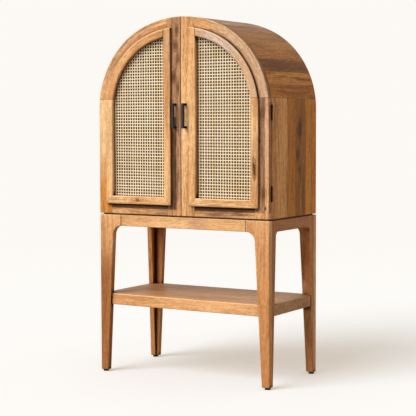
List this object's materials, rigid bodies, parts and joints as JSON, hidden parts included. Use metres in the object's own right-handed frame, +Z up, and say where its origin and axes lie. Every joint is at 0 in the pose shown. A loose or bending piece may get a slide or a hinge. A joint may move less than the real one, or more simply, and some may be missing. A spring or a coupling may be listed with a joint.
{
  "type": "bar cabinet",
  "caption": "Arched wooden bar cabinet with hinged cane doors, raised arch mouldings and bar pulls, on an open stand with tapered legs and a low shelf.",
  "frame": {"origin": "on the floor, under the middle of the whole object's box", "axes": "+Z up, +X to the right seen from the front, the doors and pulls face -Y"},
  "size_m": [0.8614, 0.46, 1.5505],
  "materials": {
    "door_wood": "satin oiled hardwood",
    "moulding_wood": "satin oiled hardwood",
    "cabinet_wood": "satin oiled hardwood",
    "stand_wood": "satin oiled hardwood",
    "cane": "natural cane webbing",
    "black_metal": "matte black",
    "black_plastic": "matte black",
    "steel": "zinc plated"
  },
  "bodies": {
    "cabinet": {"apron_back": "stand_wood", "apron_front": "stand_wood", "apron_left": "stand_wood", "apron_right": "stand_wood", "arch_staves": "cabinet_wood", "back_panel": "cabinet_wood", "base_strips": "cabinet_wood", "carcass_bottom": "cabinet_wood", "carcass_side_left": "cabinet_wood", "carcass_side_right": "cabinet_wood", "corner_blocks": "stand_wood", "door_catches": "black_plastic", "foot_glides": "black_plastic", "hinge_frame_leaves_left": "black_metal", "hinge_frame_leaves_right": "black_metal", "hinge_pins_left": "black_metal", "hinge_pins_right": "black_metal", "inner_shelf": "cabinet_wood", "leg_back_left_face": "stand_wood", "leg_back_left_side": "stand_wood", "leg_back_right_face": "stand_wood", "leg_back_right_side": "stand_wood", "leg_front_left_face": "stand_wood", "leg_front_left_side": "stand_wood", "leg_front_right_face": "stand_wood", "leg_front_right_side": "stand_wood", "shelf_cleats": "cabinet_wood", "stand_shelf": "stand_wood", "stemware_slats": "cabinet_wood", "stemware_spacers": "cabinet_wood"},
    "left_door": {"cane_beads_left": "door_wood", "cane_panel_left": "cane", "catch_plate_left": "steel", "door_left_arch_rail": "door_wood", "door_left_bottom_rail": "door_wood", "door_left_meeting_stile": "door_wood", "door_left_outer_stile": "door_wood", "hinge_door_leaves_left": "black_metal", "moulding_left_arch": "moulding_wood", "moulding_left_bottom": "moulding_wood", "moulding_left_inner": "moulding_wood", "moulding_left_outer": "moulding_wood", "pull_handle_left": "black_metal"},
    "right_door": {"cane_beads_right": "door_wood", "cane_panel_right": "cane", "catch_plate_right": "steel", "door_right_arch_rail": "door_wood", "door_right_bottom_rail": "door_wood", "door_right_meeting_stile": "door_wood", "door_right_outer_stile": "door_wood", "hinge_door_leaves_right": "black_metal", "moulding_right_arch": "moulding_wood", "moulding_right_bottom": "moulding_wood", "moulding_right_inner": "moulding_wood", "moulding_right_outer": "moulding_wood", "pull_handle_right": "black_metal"}
  },
  "joints": [
    {"name": "left_door_hinge", "type": "hinge", "parent": "cabinet", "child": "left_door", "pos_m": [-0.4275, -0.181, 0.9775], "axis": [0, 0, -1], "range_deg": [0, 180]},
    {"name": "right_door_hinge", "type": "hinge", "parent": "cabinet", "child": "right_door", "pos_m": [0.4275, -0.181, 0.9775], "axis": [0, 0, 1], "range_deg": [0, 180]}
  ]
}
